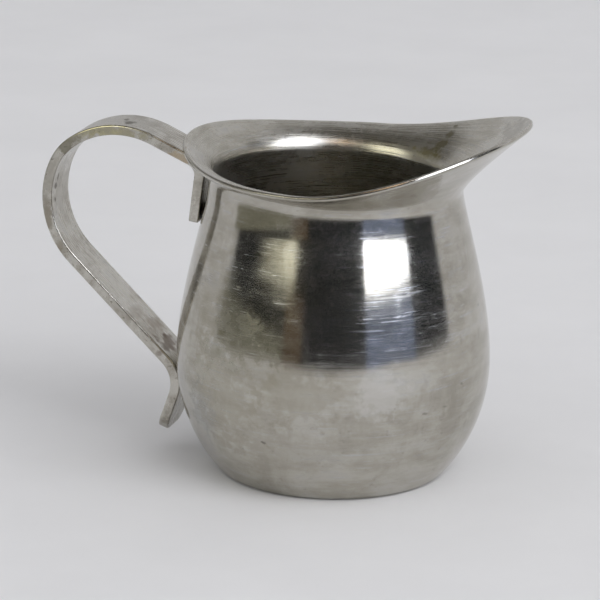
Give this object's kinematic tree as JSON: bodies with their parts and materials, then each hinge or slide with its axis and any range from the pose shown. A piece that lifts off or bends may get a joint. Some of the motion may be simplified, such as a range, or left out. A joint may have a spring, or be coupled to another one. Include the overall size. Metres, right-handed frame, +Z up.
{
  "type": "cream jug",
  "caption": "Small bell-shaped steel cream jug with a flared lip pulled into a pouring spout and a flat strip loop handle spot-welded at neck and belly.",
  "frame": {"origin": "on the body's axis, in the plane of its flat base", "axes": "+Z up along the body's axis, +X out of the spout, the handle on -X"},
  "size_m": [0.0967, 0.0618, 0.071],
  "materials": {
    "satin_steel": "satin, fine polishing lines round the body, stained and worn",
    "weld_steel": "dull, heat-tinted"
  },
  "bodies": {
    "root": {"body": "satin_steel", "handle": "satin_steel", "upper_spot_weld": "weld_steel", "lower_spot_weld": "weld_steel"}
  },
  "joints": []
}
